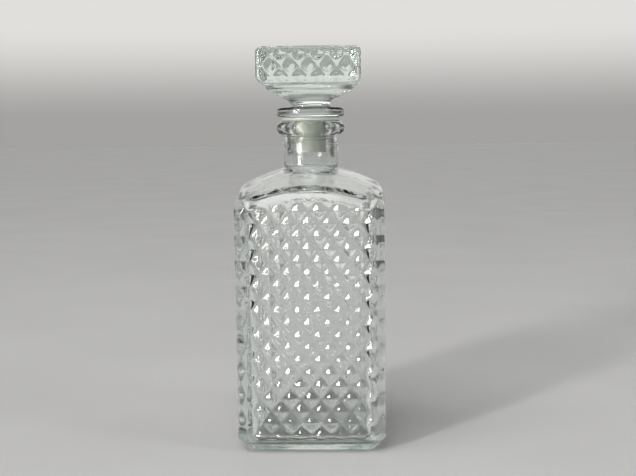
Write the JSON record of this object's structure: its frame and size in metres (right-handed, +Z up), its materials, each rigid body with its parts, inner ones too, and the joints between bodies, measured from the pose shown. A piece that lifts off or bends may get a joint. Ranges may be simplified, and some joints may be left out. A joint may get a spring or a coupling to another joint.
{
  "type": "decanter",
  "caption": "Square pressed-glass decanter with a raised diamond pattern, a domed shoulder, a lipped neck and a square glass stopper in a soft seal.",
  "frame": {"origin": "middle of the base, on the surface that the decanter stands on", "axes": "+Z up along the axis of the neck and stopper, -Y out of the front face, +X to the right seen from the front"},
  "size_m": [0.092, 0.092, 0.2484],
  "materials": {
    "bottle_glass": "polished clear pressed glass, faint grey-green tint",
    "stopper_glass": "polished clear pressed glass, faint grey-green tint",
    "seal_plastic": "translucent polyethylene, satin"
  },
  "bodies": {
    "bottle": {"decanter": "bottle_glass"},
    "seal": {"stopper_seal": "seal_plastic"},
    "stopper_glass": {"stopper": "stopper_glass"}
  },
  "joints": [
    {"name": "stopper_lift", "type": "slide", "parent": "bottle", "child": "seal", "axis": [0, 0, 1], "range_m": [0, 0.06]},
    {"name": "stopper_turn", "type": "hinge", "parent": "seal", "child": "stopper_glass", "pos_m": [0, 0, 0.2058], "axis": [0, 0, 1], "continuous": true}
  ]
}
